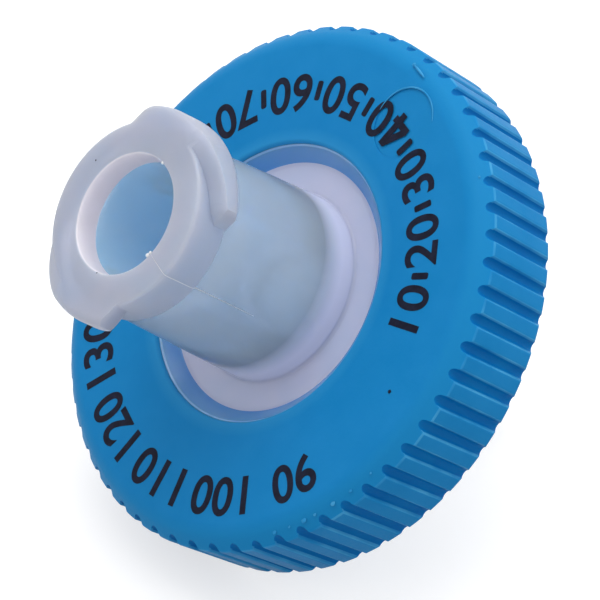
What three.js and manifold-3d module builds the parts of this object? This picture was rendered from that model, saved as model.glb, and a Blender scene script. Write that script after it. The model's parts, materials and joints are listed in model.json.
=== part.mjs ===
// A syringe filter for a 13 mm membrane: two translucent housings with the membrane clamped between
// them, and a grooved ring moulded round their edges. The inlet is a female luer lock hub, the outlet a
// male luer slip nozzle. It lies as it comes to rest: on its ring's back edge and its nozzle's end.
//
// The filter is built along its own Z axis, with height 0 at the ring's front face and the inlet up,
// and is then leaned over as a whole. Every length is in millimetres.

import * as THREE from 'three';
import { mergeVertices } from 'three/addons/utils/BufferGeometryUtils.js';
import Module from 'manifold-3d';

const wasm = await Module();
wasm.setup();

// Membrane and the room it sits in
const MEMBRANE_RADIUS = 6.5;
const MEMBRANE_THICKNESS = 0.15;
const SEAL_WIDTH = 0.6;          // edge of the membrane that the housings clamp
const POCKET_CLEARANCE = 0.05;   // round the membrane's edge
const CHAMBER_DEPTH = 0.3;       // room above the membrane
const FIT_GAP = 0.02;            // between pieces that touch

// Grip ring
const BODY_THICKNESS = 4.07;
const RING_WALL = 1.4;           // from the housings' edge to the ring's widest part, its shoulder's edge
const RING_LIP = 1.0;            // over the housings' edge, front and back
const WINDOW_RADIUS = 5.02;      // opening that the housings show through, front and back
const WINDOW_EDGE_ROUNDING = 0.15;
const SHOULDER_WIDTH = 0.57;     // of the sloping shoulder between the front face and the wall
const SHOULDER_DROP = 0.58;
const SHOULDER_ROUNDING = 0.35;
const WALL_DRAFT = 0.12;         // radius lost from the shoulder's edge to the wall's back edge
const BACK_CHAMFER = 0.4;        // its height on the wall
const BACK_CHAMFER_RUN = 0.8;    // its width on the back face
const GROOVE_COUNT = 60;
const GROOVE_FRONT_WIDTH = 0.42;
const GROOVE_BACK_WIDTH = 0.38;
const GROOVE_FRONT_DEPTH = 0.25;
const GROOVE_BACK_DEPTH = 0.2;
const EJECTOR_MARK_RADIUS = 1.28; // left in the front face by an ejector pin
const EJECTOR_MARK_DEPTH = 0.04;
const EJECTOR_MARK_SETTING = 7.35; // of its middle from the ring's axis
const EJECTOR_MARK_ANGLE = -12;  // degrees, from the direction that points up when the filter lies down

// Housings, where they show in the ring's window
const EDGE_MARGIN = 1.6;         // how far the housings reach past the membrane
const RECESS_DEPTH = 0.65;
const RECESS_WALL_RUN = 0.6;     // width of the sloping wall round the recess

// Inlet hub, a female luer lock
const HUB_LENGTH = 7.32;
const HUB_END_RADIUS = 3.2;
const HUB_FOOT_RADIUS = 3.42;
const HUB_FOOT_ROUNDING = 0.12;
const COLLAR_RADIUS = 3.28;
const COLLAR_LENGTH = 1.5;
const COLLAR_ROUNDING = 0.12;
const LUER_TAPER = 0.03;         // radius lost for each millimetre, the standard 6% on diameter
const SOCKET_MOUTH_RADIUS = 2.135;
const SOCKET_FLOOR_THICKNESS = 1.15;
const SOCKET_STEP_DEPTH = 0.4;
const INLET_HOLE_RADIUS = 1.5;
const LUG_RADIUS = 3.87;
const LUG_LEAD = 5;              // two starts, so the pitch is half of this
const LUG_CREST_WIDTH = 1.07;
const LUG_FLANK_ANGLE = 20;
const LUG_ROUNDING = 0.3;        // of its crest, at the collar's two ends
const LUG_START_ANGLE = 43;      // degrees, from the direction that points up when the filter lies down
const LUG_SWEEP = 111;
const LUG_RUN_IN = 24;           // degrees over which a lug rises out of the collar
const LUG_RUN_OUT = 16;
const LUG_END_SINK = 0.1;        // of a lug's two ends under the collar's surface
const LUG_OVERSIZE = 0.15;       // before its crest is trimmed

// Outlet side
const SUPPORT_RING_COUNT = 5;
const SUPPORT_RING_WIDTH = 0.4;
const CHANNEL_DEPTH = 0.3;
const DRAIN_RADIUS = 0.9;
const DRAIN_CHANNEL_COUNT = 8;
const DRAIN_CHANNEL_WIDTH = 0.5;
const NOZZLE_BASE_LENGTH = 0.1;  // from the ring's back face to where the luer cone starts
const NOZZLE_BASE_RADIUS = 2.55;
const NOZZLE_BASE_ROUNDING = 0.5;
const LUER_CONE_LENGTH = 7.5;
const NOZZLE_END_RADIUS = 1.98;
const NOZZLE_END_CHAMFER = 0.15;
const NOZZLE_BORE_END_RADIUS = 1.05;

// Facets
const SEGMENTS = GROOVE_COUNT;   // so that each land of the ring is one flat facet
const ROUNDING_FACET = 0.3;      // length along the outline
const MARK_SEGMENTS = 24;
const GROOVE_FACETS = 10;
const LUG_STEP_ANGLE = 5;

// Worked-out radii and heights
const JOINT_HEIGHT = -BODY_THICKNESS / 2;
const MEMBRANE_TOP = JOINT_HEIGHT + MEMBRANE_THICKNESS / 2;
const MEMBRANE_BOTTOM = JOINT_HEIGHT - MEMBRANE_THICKNESS / 2;
const CHAMBER_RADIUS = MEMBRANE_RADIUS - SEAL_WIDTH;
const POCKET_RADIUS = MEMBRANE_RADIUS + POCKET_CLEARANCE;
const HOUSING_RADIUS = MEMBRANE_RADIUS + EDGE_MARGIN;
const SHOULDER_RADIUS = HOUSING_RADIUS + RING_WALL;
const RIM_RADIUS = SHOULDER_RADIUS - WALL_DRAFT;
const RIM_EDGE_HEIGHT = BACK_CHAMFER - BODY_THICKNESS;
const NOZZLE_END_HEIGHT = -(BODY_THICKNESS + NOZZLE_BASE_LENGTH + LUER_CONE_LENGTH);
const NOZZLE_CORNER_HEIGHT = NOZZLE_END_HEIGHT + NOZZLE_END_CHAMFER;

// The point at a given distance from one corner of an outline towards another.
function towards(corner, other, distance) {
  return other.clone().sub(corner).setLength(distance).add(corner);
}

// Points of the arc that rounds a corner, from one side of it to the other.
function fillet(corner, before, after, distance) {
  const start = towards(corner, before, distance);
  const end = towards(corner, after, distance);
  const inwards = start.clone().add(end).divideScalar(2).sub(corner);
  const centre = inwards.clone().multiplyScalar(distance ** 2 / inwards.lengthSq()).add(corner);
  const startAngle = start.clone().sub(centre).angle();
  const endAngle = end.clone().sub(centre).angle();
  const clockwise = start.clone().sub(centre).cross(end.clone().sub(centre)) < 0;
  const radius = centre.distanceTo(start);
  const arc = new THREE.EllipseCurve(centre.x, centre.y, radius, radius, startAngle, endAngle, clockwise);
  return arc.getPoints(Math.max(2, Math.round(arc.getLength() / ROUNDING_FACET)));
}

// A closed outline through corners given as [radius, height] or [radius, height, rounding], where the
// rounding takes that much off both sides of its corner.
function outline(corners) {
  const points = corners.map(([radius, height]) => new THREE.Vector2(radius, height));
  const rounded = points.flatMap((corner, i) => {
    const rounding = corners[i][2];
    return rounding ? fillet(corner, points.at(i - 1), points[(i + 1) % points.length], rounding) : [corner];
  });
  return [...rounded, rounded[0]];
}

// A closed three.js geometry as a solid that can be joined and cut.
function toSolid(geometry) {
  geometry.deleteAttribute('normal');
  geometry.deleteAttribute('uv');
  const merged = mergeVertices(geometry);
  return new wasm.Manifold(new wasm.Mesh({
    numProp: 3,
    vertProperties: Float32Array.from(merged.attributes.position.array),
    triVerts: Uint32Array.from(merged.index.array),
  }));
}

function toMesh(name, solid, material) {
  const { vertProperties, triVerts } = solid.getMesh();
  const geometry = new THREE.BufferGeometry();
  geometry.setAttribute('position', new THREE.BufferAttribute(vertProperties, 3));
  geometry.setIndex(new THREE.BufferAttribute(triVerts, 1));
  geometry.computeVertexNormals();
  const mesh = new THREE.Mesh(geometry, material);
  mesh.name = name;
  return mesh;
}

// Turns an outline round the Z axis. Its corners run outwards along the top and back along the bottom.
function revolve(corners) {
  const halfFacet = Math.PI / SEGMENTS;
  const geometry = new THREE.LatheGeometry(outline(corners).reverse(), SEGMENTS, halfFacet);
  return toSolid(geometry.rotateX(Math.PI / 2));
}

// Copies of a cutter, spaced evenly round the Z axis and joined into one solid.
function ringOf(cutter, count, startAngle = 0) {
  const copies = Array.from({ length: count }, (_, i) => cutter.rotate([0, 0, startAngle + (360 * i) / count]));
  return wasm.Manifold.union(copies);
}

// The slightly tapered round bar that leaves one groove in the ring's wall. Its front end runs out of
// the shoulder, which gives each groove its rounded front, and it leans so that the groove gets
// shallower towards the back.
function grooveCutter() {
  const frontRadius = GROOVE_FRONT_WIDTH / 2;
  const backRadius = GROOVE_BACK_WIDTH / 2;
  const front = new THREE.Vector2(SHOULDER_RADIUS + frontRadius - GROOVE_FRONT_DEPTH, -SHOULDER_DROP);
  const back = new THREE.Vector2(RIM_RADIUS + backRadius - GROOVE_BACK_DEPTH, RIM_EDGE_HEIGHT);
  const overrun = SHOULDER_DROP + BACK_CHAMFER;
  const length = front.distanceTo(back) + 2 * overrun;
  const bar = new THREE.CylinderGeometry(frontRadius, backRadius, length, GROOVE_FACETS);
  bar.rotateX(Math.PI / 2);
  bar.rotateY(-Math.atan2(back.x - front.x, front.y - back.y));
  bar.translate((front.x + back.x) / 2, 0, (front.y + back.y) / 2);
  return toSolid(bar);
}

// The shallow round dent that an ejector pin leaves in the front face.
function ejectorMark() {
  const height = 2 * EJECTOR_MARK_DEPTH;
  const pin = new THREE.CylinderGeometry(EJECTOR_MARK_RADIUS, EJECTOR_MARK_RADIUS, height, MARK_SEGMENTS);
  pin.rotateX(Math.PI / 2);
  pin.translate(EJECTOR_MARK_SETTING, 0, 0);
  return toSolid(pin).rotate([0, 0, EJECTOR_MARK_ANGLE]);
}

// The ring, cast round the edges of both housings.
function gripRing() {
  const edge = WINDOW_EDGE_ROUNDING;
  const cavityRadius = HOUSING_RADIUS + FIT_GAP;
  const body = revolve([
    [WINDOW_RADIUS, 0, edge],
    [SHOULDER_RADIUS - SHOULDER_WIDTH, 0, SHOULDER_ROUNDING],
    [SHOULDER_RADIUS, -SHOULDER_DROP],
    [RIM_RADIUS, RIM_EDGE_HEIGHT],
    [RIM_RADIUS - BACK_CHAMFER_RUN, -BODY_THICKNESS],
    [WINDOW_RADIUS, -BODY_THICKNESS, edge],
    [WINDOW_RADIUS, RING_LIP - BODY_THICKNESS],
    [cavityRadius, RING_LIP - BODY_THICKNESS],
    [cavityRadius, -RING_LIP],
    [WINDOW_RADIUS, -RING_LIP],
  ]);
  const halfPitch = 180 / GROOVE_COUNT;
  return body.subtract(ringOf(grooveCutter(), GROOVE_COUNT, halfPitch)).subtract(ejectorMark());
}

// Radius of a lug's crest, before trimming, at an angle along the lug.
function crestRadius(turned) {
  const rise = Math.min(turned / LUG_RUN_IN, (LUG_SWEEP - turned) / LUG_RUN_OUT);
  const risen = THREE.MathUtils.smoothstep(rise, 0, 1);
  return THREE.MathUtils.lerp(COLLAR_RADIUS - LUG_END_SINK, LUG_RADIUS + LUG_OVERSIZE, risen);
}

// One lug of the luer lock thread: a right-handed helical ridge with sloping flanks, which rises out of
// the collar at its start and sinks back into it at its end. It is trimmed later to the collar's height.
function lug(startAngle) {
  const rootRadius = (SOCKET_MOUTH_RADIUS + COLLAR_RADIUS) / 2;
  const halfCrest = LUG_CREST_WIDTH / 2;
  const flank = (LUG_RADIUS - rootRadius) * Math.tan(THREE.MathUtils.degToRad(LUG_FLANK_ANGLE));
  const steps = Math.round(LUG_SWEEP / LUG_STEP_ANGLE);
  const corners = 4;
  const positions = [];
  for (let step = 0; step <= steps; step++) {
    const turned = (LUG_SWEEP * step) / steps;
    const angle = THREE.MathUtils.degToRad(startAngle - turned);
    const middle = HUB_LENGTH - (LUG_LEAD * turned) / 360;
    const section = [
      [rootRadius, -halfCrest - flank],
      [crestRadius(turned), -halfCrest],
      [crestRadius(turned), halfCrest],
      [rootRadius, halfCrest + flank],
    ];
    for (const [radius, offset] of section) {
      positions.push(radius * Math.cos(angle), radius * Math.sin(angle), middle + offset);
    }
  }
  const indices = [0, 2, 1, 0, 3, 2];
  for (let step = 0; step < steps; step++) {
    for (let i = 0; i < corners; i++) {
      const a = step * corners + i;
      const b = step * corners + ((i + 1) % corners);
      indices.push(a, b, a + corners, b, b + corners, a + corners);
    }
  }
  const last = steps * corners;
  indices.push(last, last + 1, last + 2, last, last + 2, last + 3);
  const geometry = new THREE.BufferGeometry();
  geometry.setAttribute('position', new THREE.Float32BufferAttribute(positions, 3));
  geometry.setIndex(indices);
  return toSolid(geometry);
}

// Both lugs, their crests trimmed round and their ends flush with the collar's.
function lugPair() {
  const envelope = revolve([
    [0, HUB_LENGTH],
    [LUG_RADIUS, HUB_LENGTH, LUG_ROUNDING],
    [LUG_RADIUS, HUB_LENGTH - COLLAR_LENGTH, LUG_ROUNDING],
    [0, HUB_LENGTH - COLLAR_LENGTH],
  ]);
  return lug(LUG_START_ANGLE).add(lug(LUG_START_ANGLE + 180)).intersect(envelope);
}

// The inlet side: flange, recess and luer lock hub in one moulding, open from the socket to the membrane.
function inletHousing() {
  const windowFit = WINDOW_RADIUS - FIT_GAP;
  const ceiling = MEMBRANE_TOP + CHAMBER_DEPTH;
  const socketFloor = ceiling + SOCKET_FLOOR_THICKNESS;
  const socketEndRadius = SOCKET_MOUTH_RADIUS - LUER_TAPER * (HUB_LENGTH - socketFloor);
  const body = revolve([
    [SOCKET_MOUTH_RADIUS, HUB_LENGTH],
    [COLLAR_RADIUS, HUB_LENGTH, COLLAR_ROUNDING],
    [COLLAR_RADIUS, HUB_LENGTH - COLLAR_LENGTH],
    [HUB_END_RADIUS, HUB_LENGTH - COLLAR_LENGTH],
    [HUB_FOOT_RADIUS, -RECESS_DEPTH, HUB_FOOT_ROUNDING],
    [windowFit - RECESS_WALL_RUN, -RECESS_DEPTH, HUB_FOOT_ROUNDING],
    [windowFit, -WINDOW_EDGE_ROUNDING],
    [windowFit, -RING_LIP - FIT_GAP],
    [HOUSING_RADIUS, -RING_LIP - FIT_GAP],
    [HOUSING_RADIUS, JOINT_HEIGHT + FIT_GAP / 2],
    [POCKET_RADIUS, JOINT_HEIGHT + FIT_GAP / 2],
    [POCKET_RADIUS, MEMBRANE_TOP + FIT_GAP],
    [CHAMBER_RADIUS, MEMBRANE_TOP + FIT_GAP],
    [CHAMBER_RADIUS, ceiling],
    [INLET_HOLE_RADIUS, ceiling],
    [INLET_HOLE_RADIUS, socketFloor - SOCKET_STEP_DEPTH],
    [socketEndRadius, socketFloor],
  ]);
  return body.add(lugPair());
}

function membrane() {
  return revolve([
    [0, MEMBRANE_TOP],
    [MEMBRANE_RADIUS, MEMBRANE_TOP],
    [MEMBRANE_RADIUS, MEMBRANE_BOTTOM],
    [0, MEMBRANE_BOTTOM],
  ]);
}

// Corners of the rings that hold the membrane up, with the channels between them, from the drain out.
function supportRings(top) {
  const channelWidth = (CHAMBER_RADIUS - DRAIN_RADIUS) / SUPPORT_RING_COUNT - SUPPORT_RING_WIDTH;
  const corners = [];
  for (let i = 0; i < SUPPORT_RING_COUNT; i++) {
    const inner = DRAIN_RADIUS + i * (SUPPORT_RING_WIDTH + channelWidth) + channelWidth;
    corners.push(
      [inner, top - CHANNEL_DEPTH],
      [inner, top],
      [inner + SUPPORT_RING_WIDTH, top],
      [inner + SUPPORT_RING_WIDTH, top - CHANNEL_DEPTH],
    );
  }
  return corners;
}

// The outlet side: membrane support, flange and luer slip nozzle in one moulding.
function outletHousing() {
  const windowFit = WINDOW_RADIUS - FIT_GAP;
  const supportTop = MEMBRANE_BOTTOM - FIT_GAP;
  const channelFloor = supportTop - CHANNEL_DEPTH;
  const recessFloor = RECESS_DEPTH - BODY_THICKNESS;
  const coneStart = NOZZLE_END_HEIGHT + LUER_CONE_LENGTH;
  const body = revolve([
    [DRAIN_RADIUS, channelFloor],
    ...supportRings(supportTop).slice(0, -2),
    [POCKET_RADIUS, supportTop],
    [POCKET_RADIUS, JOINT_HEIGHT - FIT_GAP / 2],
    [HOUSING_RADIUS, JOINT_HEIGHT - FIT_GAP / 2],
    [HOUSING_RADIUS, RING_LIP + FIT_GAP - BODY_THICKNESS],
    [windowFit, RING_LIP + FIT_GAP - BODY_THICKNESS],
    [windowFit, WINDOW_EDGE_ROUNDING - BODY_THICKNESS],
    [windowFit - RECESS_WALL_RUN, recessFloor, HUB_FOOT_ROUNDING],
    [NOZZLE_BASE_RADIUS, recessFloor, NOZZLE_BASE_ROUNDING],
    [NOZZLE_BASE_RADIUS, coneStart],
    [NOZZLE_END_RADIUS + LUER_TAPER * LUER_CONE_LENGTH, coneStart],
    [NOZZLE_END_RADIUS, NOZZLE_CORNER_HEIGHT],
    [NOZZLE_END_RADIUS - NOZZLE_END_CHAMFER, NOZZLE_END_HEIGHT],
    [NOZZLE_BORE_END_RADIUS, NOZZLE_END_HEIGHT],
  ]);
  const channelLength = CHAMBER_RADIUS - SUPPORT_RING_WIDTH;
  const channel = new THREE.BoxGeometry(channelLength, DRAIN_CHANNEL_WIDTH, CHANNEL_DEPTH);
  channel.translate(channelLength / 2, 0, channelFloor + CHANNEL_DEPTH / 2);
  return body.subtract(ringOf(toSolid(channel), DRAIN_CHANNEL_COUNT));
}

// The angle from upright at which the filter lies, on one facet of its ring's back edge and one of its
// nozzle's end.
function restingLean() {
  const toMiddleOfFacet = Math.cos(Math.PI / SEGMENTS);
  const run = (RIM_RADIUS - NOZZLE_END_RADIUS) * toMiddleOfFacet;
  return Math.atan2(RIM_EDGE_HEIGHT - NOZZLE_CORNER_HEIGHT, run);
}

const natural = { color: 0xdcdfe6, roughness: 0.35, metalness: 0, transparent: true, opacity: 0.6 };
const filter = new THREE.Group();
filter.add(
  toMesh('grip_ring', gripRing(), new THREE.MeshStandardMaterial({ color: 0x2688c8, roughness: 0.55, metalness: 0 })),
  toMesh('inlet_housing', inletHousing(), new THREE.MeshStandardMaterial(natural)),
  toMesh('membrane', membrane(), new THREE.MeshStandardMaterial({ color: 0xf4f4f2, roughness: 0.9, metalness: 0 })),
  toMesh('outlet_housing', outletHousing(), new THREE.MeshStandardMaterial(natural)),
);
filter.rotation.y = -restingLean();

// The origin is under the middle of the filter as it lies, on the surface that it rests on.
const syringeFilter = new THREE.Group();
syringeFilter.add(filter);
syringeFilter.updateMatrixWorld(true);
const box = new THREE.Box3().setFromObject(syringeFilter, true);
const middle = box.getCenter(new THREE.Vector3());
filter.position.set(-middle.x, -middle.y, -box.min.z);

export default syringeFilter;
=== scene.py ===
"""A syringe filter lying on its side: a blue grip ring cast round two natural plastic housings,
with a white membrane between them, an inlet hub with luer lock lugs and a tapered outlet nozzle."""

import json
import math

import bmesh
import bpy
from mathutils import Euler, Matrix, Vector


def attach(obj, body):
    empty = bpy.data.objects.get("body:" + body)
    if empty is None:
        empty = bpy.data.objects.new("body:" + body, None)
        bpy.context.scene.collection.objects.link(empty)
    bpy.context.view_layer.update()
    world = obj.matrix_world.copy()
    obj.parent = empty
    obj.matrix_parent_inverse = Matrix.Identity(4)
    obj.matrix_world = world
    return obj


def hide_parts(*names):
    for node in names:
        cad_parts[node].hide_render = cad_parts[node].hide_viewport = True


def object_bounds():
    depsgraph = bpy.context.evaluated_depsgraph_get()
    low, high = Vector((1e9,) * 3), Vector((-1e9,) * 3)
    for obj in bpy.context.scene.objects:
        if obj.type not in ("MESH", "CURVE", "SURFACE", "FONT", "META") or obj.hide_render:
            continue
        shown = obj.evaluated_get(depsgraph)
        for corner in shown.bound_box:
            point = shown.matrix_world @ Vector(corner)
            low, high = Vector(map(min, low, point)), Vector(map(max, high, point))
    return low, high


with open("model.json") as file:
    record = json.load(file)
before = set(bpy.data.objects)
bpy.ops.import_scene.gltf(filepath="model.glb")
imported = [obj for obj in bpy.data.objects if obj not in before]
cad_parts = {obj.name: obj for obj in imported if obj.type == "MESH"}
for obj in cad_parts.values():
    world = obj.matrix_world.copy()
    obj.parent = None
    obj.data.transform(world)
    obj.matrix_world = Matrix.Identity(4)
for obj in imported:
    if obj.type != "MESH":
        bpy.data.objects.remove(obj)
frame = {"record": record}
cad_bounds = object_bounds()

# ---------------------------------------------------------------------------------------------
# Outlet housing. The lower half of the filter: a round plate of natural polypropylene with rings
# that hold the membrane up, a shallow recess, and the tapered luer nozzle that everything leaves
# through. One moulding, clamped under the inlet housing by the ring cast round both.

BODY_THICKNESS = 4.07
MEMBRANE_BOTTOM = -2.11
JOINT_HEIGHT = -2.035
FIT_GAP = 0.02
BOND = 0.03
RING_LIP = 1.0
WINDOW_FIT = 5.06
RECESS_DEPTH = 0.65
RECESS_WALL_RUN = 0.6
HOUSING_RADIUS = 8.16
RECESS_CORNER_ROUNDING = 0.12
WINDOW_BAND = 0.15
POCKET_RADIUS = 6.55
DRAIN_RADIUS = 0.9
CHANNEL_DEPTH = 0.3
CHANNEL_WIDTH = 0.5
CHANNEL_COUNT = 8
CHANNEL_END_RADIUS = 5.5
CHANNEL_OVERCUT = 0.02
SUPPORT_RINGS = (1.5, 2.5, 3.5, 4.5)
SUPPORT_RING_WIDTH = 0.4
NOZZLE_BASE_RADIUS = 2.55
NOZZLE_BASE_BOTTOM = -4.17
NOZZLE_END = -11.67
NOZZLE_END_RADIUS = 1.98
NOZZLE_START_RADIUS = 2.205
NOZZLE_CHAMFER = 0.15
NOZZLE_BORE_RADIUS = 1.05
NOZZLE_BASE_ROUNDING = 0.4
HUB_LENGTH = 7.32

# The CAD model's round faces are sixty flats. A smooth face that just fits inside them is this much
# nearer the axis.
FLATS = 60
INSIDE_FLATS = math.cos(math.pi / FLATS)
ROUND_STEPS = 240
POINT_TOLERANCE = 0.004
SHARP_ANGLE = 28
STRAY_DISTANCE = 0.0012

# The filter leans over from upright until it lies on its ring and its nozzle. Its mounts say how far
# and where.
mounts = {mount["name"]: mount for mount in frame["record"]["mounts"]}
own_axis = Vector(mounts["inlet_end_face"]["axis"])
hub_end = Vector(mounts["inlet_end_face"]["pos_m"])
face_centre = Vector((hub_end.x, 0, hub_end.z)) - own_axis * HUB_LENGTH / 1000
lean = math.atan2(-own_axis.x, own_axis.z)


def start_edit(piece, mode="EDGE"):
    """Opens one piece for editing, with nothing else selected."""
    bpy.ops.object.select_all(action="DESELECT")
    piece.select_set(True)
    bpy.context.view_layer.objects.active = piece
    bpy.ops.object.mode_set(mode="EDIT")
    bpy.ops.mesh.select_mode(type=mode)


def finish_edit():
    """Closes the piece that is being edited and gives it back."""
    bpy.ops.object.mode_set(mode="OBJECT")
    return bpy.context.object


def primitive(name, add, **sizes):
    """Adds a primitive on its own and names it."""
    bpy.ops.object.select_all(action="DESELECT")
    add(**sizes)
    piece = bpy.context.object
    piece.name = piece.data.name = name
    bpy.ops.object.transform_apply()
    return piece


def pick_loop(piece, radius, height):
    """Selects the edges that run round the axis at one radius and height."""
    bpy.ops.mesh.select_all(action="DESELECT")
    mesh = bmesh.from_edit_mesh(piece.data)
    for edge in mesh.edges:
        edge.select = all(
            abs(vert.co.xy.length - radius) < POINT_TOLERANCE and abs(vert.co.z - height) < POINT_TOLERANCE
            for vert in edge.verts
        )
    bmesh.update_edit_mesh(piece.data)


def turned(name, corners, steps=ROUND_STEPS):
    """Turns a closed outline of (radius, height[, rounding]), in millimetres, round the filter's axis."""
    radius, height = corners[0][:2]
    piece = primitive(
        name, bpy.ops.mesh.primitive_circle_add, vertices=steps, radius=radius, location=(0, 0, height),
    )
    start_edit(piece)
    bpy.ops.mesh.select_all(action="SELECT")
    for next_radius, next_height, *_ in corners[1:] + corners[:1]:
        bpy.ops.mesh.extrude_region()
        ratio = next_radius / radius
        bpy.ops.transform.resize(value=(ratio, ratio, 1), center_override=(0, 0, height))
        bpy.ops.transform.translate(value=(0, 0, next_height - height))
        radius, height = next_radius, next_height
    bpy.ops.mesh.select_all(action="SELECT")
    bpy.ops.mesh.remove_doubles(threshold=0.0005)
    bpy.ops.mesh.normals_make_consistent(inside=False)
    for corner_radius, corner_height, *rounding in corners:
        if rounding:
            pick_loop(piece, corner_radius, corner_height)
            bpy.ops.mesh.bevel(
                offset=rounding[0], offset_type="OFFSET", segments=6, profile=0.5, affect="EDGES",
            )
    return finish_edit()


def spun_cutter(cutter, count, first_angle=0):
    """Copies a cutter evenly round the axis, as one mesh."""
    start_edit(cutter, "VERT")
    bpy.ops.mesh.select_all(action="SELECT")
    bpy.ops.transform.rotate(value=-first_angle, orient_axis="Z", center_override=(0, 0, 0))
    bpy.ops.mesh.spin(
        steps=count - 1, dupli=True, angle=math.tau * (count - 1) / count, center=(0, 0, 0), axis=(0, 0, 1),
    )
    return finish_edit()


def combine(piece, tool, operation):
    """Cuts a tool out of a piece, or joins it on, and removes the tool."""
    bpy.context.view_layer.objects.active = piece
    join = piece.modifiers.new("join", "BOOLEAN")
    join.object = tool
    join.operation = operation
    join.solver = "EXACT"
    bpy.ops.object.modifier_apply(modifier=join.name)
    bpy.data.objects.remove(tool)


def ease_edges(piece, width, segments=2, material=-1):
    """Gives the sharp edges that are left their small moulded rounding."""
    bpy.context.view_layer.objects.active = piece
    ease = piece.modifiers.new("ease", "BEVEL")
    ease.width = width
    ease.segments = segments
    ease.limit_method = "ANGLE"
    ease.angle_limit = math.radians(SHARP_ANGLE)
    ease.material = material
    bpy.ops.object.modifier_apply(modifier=ease.name)


def merge_points(piece):
    """Merges the points that a cut or a rounding has left on top of each other."""
    start_edit(piece, "VERT")
    bpy.ops.mesh.select_all(action="SELECT")
    bpy.ops.mesh.remove_doubles(threshold=STRAY_DISTANCE)
    bpy.ops.mesh.dissolve_degenerate(threshold=STRAY_DISTANCE)
    return finish_edit()


def lay_down(piece, smooth_angle=40):
    """Takes a finished piece from millimetres about its own axis to its place in the CAD frame."""
    bpy.ops.object.select_all(action="DESELECT")
    piece.select_set(True)
    bpy.context.view_layer.objects.active = piece
    piece.scale = (INSIDE_FLATS / 1000, INSIDE_FLATS / 1000, 1 / 1000)
    piece.rotation_euler = (0, -lean, 0)
    piece.location = face_centre
    bpy.ops.object.transform_apply()
    bpy.ops.object.shade_smooth_by_angle(angle=math.radians(smooth_angle))


def moulded_grain():
    """Fine grain that a mould leaves on plastic, and the slow mottle of its colour and gloss."""
    tree = bpy.data.node_groups.new("moulded_grain", "ShaderNodeTree")
    side = tree.interface
    side.new_socket("Place", in_out="INPUT", socket_type="NodeSocketVector")
    side.new_socket("Grain per mm", in_out="INPUT", socket_type="NodeSocketFloat").default_value = 9
    side.new_socket("Mottle per mm", in_out="INPUT", socket_type="NodeSocketFloat").default_value = 0.5
    side.new_socket("Grain", in_out="OUTPUT", socket_type="NodeSocketFloat")
    side.new_socket("Mottle", in_out="OUTPUT", socket_type="NodeSocketFloat")
    inside = tree.nodes.new("NodeGroupInput")
    outside = tree.nodes.new("NodeGroupOutput")
    for source, target, detail in (("Grain per mm", "Grain", 3), ("Mottle per mm", "Mottle", 2)):
        noise = tree.nodes.new("ShaderNodeTexNoise")
        noise.inputs["Detail"].default_value = detail
        noise.inputs["Roughness"].default_value = 0.6
        tree.links.new(inside.outputs["Place"], noise.inputs["Vector"])
        tree.links.new(inside.outputs[source], noise.inputs["Scale"])
        tree.links.new(noise.outputs["Fac"], outside.inputs[target])
    return tree


grain_group = moulded_grain()


class Finish:
    """A material on the filter's own millimetres, with its Principled shader and the grain wired in."""

    def __init__(self, name, grain=9, mottle=0.5, depth=0.004):
        self.material = bpy.data.materials.new(name)
        self.material.use_nodes = True
        self.tree = self.material.node_tree
        self.shader = self.tree.nodes["Principled BSDF"]
        place = self.node("ShaderNodeTexCoord").outputs["Object"]
        centre = self.node("ShaderNodeMapping", Vector=place)
        centre.vector_type = "TEXTURE"
        centre.inputs["Location"].default_value = face_centre
        centre.inputs["Rotation"].default_value = (0, -lean, 0)
        centre.inputs["Scale"].default_value = (1 / 1000, 1 / 1000, 1 / 1000)
        self.place = centre.outputs["Vector"]
        self.grain = self.node("ShaderNodeGroup")
        self.grain.node_tree = grain_group
        self.link(self.place, self.grain.inputs["Place"])
        self.grain.inputs["Grain per mm"].default_value = grain
        self.grain.inputs["Mottle per mm"].default_value = mottle
        self.bump = self.node("ShaderNodeBump", Height=self.grain.outputs["Grain"])
        self.bump.inputs["Strength"].default_value = 1
        self.bump.inputs["Distance"].default_value = depth / 1000
        self.link(self.bump.outputs["Normal"], self.shader.inputs["Normal"])

    def node(self, kind, **links):
        """A new node, with the outputs that feed it."""
        made = self.tree.nodes.new(kind)
        for name, source in links.items():
            self.link(source, made.inputs[name])
        return made

    def link(self, source, target):
        """Feeds one socket from another."""
        self.tree.links.new(source, target)

    def height(self):
        """The height in millimetres along the filter's own axis."""
        return self.node("ShaderNodeSeparateXYZ", Vector=self.place).outputs["Z"]

    def between(self, mask, low, high, start=0.3, end=0.7):
        """A value from low to high as a mask goes from start to end."""
        spread = self.node("ShaderNodeMapRange", Value=mask)
        spread.inputs["From Min"].default_value = start
        spread.inputs["From Max"].default_value = end
        spread.inputs["To Min"].default_value = low
        spread.inputs["To Max"].default_value = high
        return spread.outputs["Result"]

    def mixed(self, mask, first, second):
        """A colour between two others. Either may be a colour or a node's output."""
        mix = self.node("ShaderNodeMix")
        mix.data_type = "RGBA"
        self.link(mask, mix.inputs[0])
        for socket, colour in ((mix.inputs[6], first), (mix.inputs[7], second)):
            if isinstance(colour, tuple):
                socket.default_value = (*colour, 1)
            else:
                self.link(colour, socket)
        return mix.outputs[2]


NATURAL_IOR = 1.4


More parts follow.
